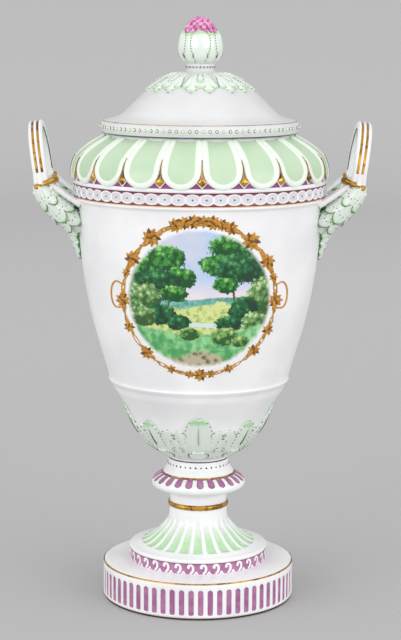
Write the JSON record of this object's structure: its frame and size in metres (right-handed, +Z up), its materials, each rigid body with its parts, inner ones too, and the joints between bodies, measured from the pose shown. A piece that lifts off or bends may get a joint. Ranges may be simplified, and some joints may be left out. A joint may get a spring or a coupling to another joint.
{
  "type": "lidded porcelain urn vase",
  "caption": "Tall lidded porcelain urn on a round fluted foot, with upright hoop handles, a tongued shoulder and a bud knob on the loose lid.",
  "frame": {"origin": "centre of the underside of the round foot, on the surface it stands on", "axes": "+Z up along the turned axis; the painted face looks along -Y; the handles are at +X and -X"},
  "size_m": [0.3008, 0.2268, 0.52],
  "materials": {
    "porcelain_foot": "glossy white glaze with green flutes, purple flutes and waves, and gilt lines",
    "porcelain_body": "glossy white glaze with green tongues, a purple interlaced band and a round painted landscape",
    "porcelain_lid": "glossy white glaze with green leaves and beads and pink berries",
    "gilding": "burnished gilding fired on the glaze",
    "painted_picture": "glossy enamel painting on white glaze"
  },
  "bodies": {
    "root": {"foot": "porcelain_foot", "body": "porcelain_body", "lid": "porcelain_lid"}
  },
  "joints": []
}
